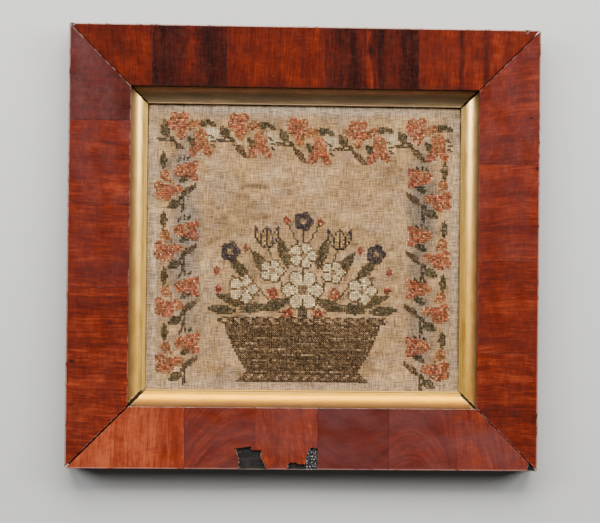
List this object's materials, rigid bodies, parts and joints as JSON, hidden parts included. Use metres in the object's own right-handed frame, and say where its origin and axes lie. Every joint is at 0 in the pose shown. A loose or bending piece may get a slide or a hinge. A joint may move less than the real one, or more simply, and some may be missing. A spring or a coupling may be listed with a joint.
{
  "type": "framed embroidered picture",
  "caption": "Linen sheet worked in wool cross stitch, held on a board in a mitred frame of cross-banded veneer with a gilt cove slip.",
  "frame": {"origin": "middle of the back, on the plane that the frame rests on", "axes": "+X to the picture's right, +Y to its top, +Z out of its face; the picture lies on its back"},
  "size_m": [0.333, 0.3124, 0.022],
  "materials": {
    "linen": "plain-woven linen with wool cross stitch, aged and stained",
    "board": "bare planed softwood, darkened with age",
    "gilt": "gold leaf on a gessoed softwood moulding, satin, lightly worn",
    "carcase": "softwood stained dark, matt, with old glue on its face",
    "veneer": "cross-banded red-brown hardwood veneer, old French polish"
  },
  "bodies": {
    "root": {"linen": "linen", "backing_board": "board", "slip_bottom": "gilt", "slip_right": "gilt", "slip_top": "gilt", "slip_left": "gilt", "rail_bottom": "carcase", "rail_right": "carcase", "rail_top": "carcase", "rail_left": "carcase", "veneer_bottom_1": "veneer", "veneer_bottom_2": "veneer", "veneer_bottom_3": "veneer", "veneer_bottom_4": "veneer", "veneer_right_1": "veneer", "veneer_right_2": "veneer", "veneer_right_3": "veneer", "veneer_right_4": "veneer", "veneer_top_1": "veneer", "veneer_top_2": "veneer", "veneer_top_3": "veneer", "veneer_top_4": "veneer", "veneer_top_5": "veneer", "veneer_left_1": "veneer", "veneer_left_2": "veneer", "veneer_left_3": "veneer", "veneer_left_4": "veneer"}
  },
  "joints": []
}
